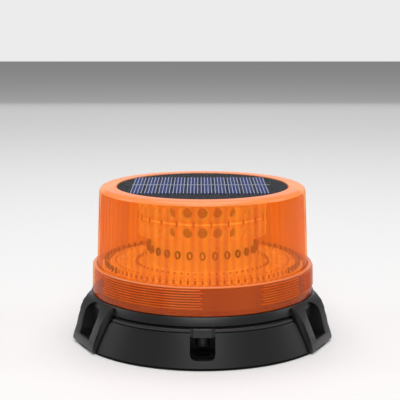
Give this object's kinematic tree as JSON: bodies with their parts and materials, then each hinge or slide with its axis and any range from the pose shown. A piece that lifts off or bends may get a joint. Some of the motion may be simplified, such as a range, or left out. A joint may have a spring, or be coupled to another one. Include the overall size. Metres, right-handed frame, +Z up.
{
  "type": "led warning beacon",
  "caption": "Amber warning beacon with a round fluted lens, a solar panel on top, a magnetic black base with screw ears and a push button under a hood.",
  "frame": {"origin": "centre of the rubber pad's underside, where the beacon rests", "axes": "+Z up through the lens and the solar panel, -Y towards the mode button, +X to the right seen from the button's side"},
  "size_m": [0.1412, 0.1412, 0.0817],
  "materials": {
    "rubber": "matt black",
    "housing": "satin black",
    "magnet": "nickel plated",
    "battery": "printed wrap",
    "board": "solder resist",
    "component": "moulded",
    "button_rubber": "satin",
    "steel": "plated",
    "lens": "clear amber polycarbonate",
    "reflector": "white",
    "led_board": "white solder resist",
    "panel_back": "dark laminate",
    "silver": "tinned ribbon",
    "panel_cover": "clear",
    "solar_cell": "polycrystalline blue",
    "lead_red": "wire jacket",
    "lead_black": "wire jacket"
  },
  "bodies": {
    "beacon": {"base_housing": "housing", "battery_cell": "battery", "battery_holder": "housing", "board_screw_left": "steel", "board_screw_right": "steel", "bottom_cover": "housing", "button_spring": "steel", "capacitor": "component", "control_board": "board", "cover_screw_1": "steel", "cover_screw_2": "steel", "cover_screw_3": "steel", "cover_screw_4": "steel", "cup_ring_lower": "reflector", "cup_ring_upper": "reflector", "driver_chip": "component", "floor_led_ring": "led_board", "lead_black": "lead_black", "lead_red": "lead_red", "led_drum": "reflector", "led_strip_lower": "led_board", "led_strip_upper": "led_board", "lens_dome": "lens", "lens_screw_1": "steel", "lens_screw_2": "steel", "lens_screw_3": "steel", "lens_seal": "rubber", "magnet_left": "magnet", "magnet_rear": "magnet", "magnet_right": "magnet", "panel_cover": "panel_cover", "reflector_tray": "reflector", "rubber_pad": "rubber", "solar_board": "panel_back", "solar_busbar": "silver", "solar_cell_01": "solar_cell", "solar_cell_02": "solar_cell", "solar_cell_03": "solar_cell", "solar_cell_04": "solar_cell", "solar_cell_05": "solar_cell", "solar_cell_06": "solar_cell", "solar_cell_07": "solar_cell", "solar_cell_08": "solar_cell", "solar_cell_09": "solar_cell", "solar_cell_10": "solar_cell", "switch_board": "board", "tact_switch": "component"},
    "button": {"mode_button": "button_rubber", "button_clip": "steel"}
  },
  "joints": [
    {"name": "mode_button_press", "type": "slide", "parent": "beacon", "child": "button", "axis": [0, 0, 1], "range_m": [0, 0.0012], "stiffness_N_per_m": 400, "springref_m": -0.001, "deforming": ["button_spring"]}
  ]
}
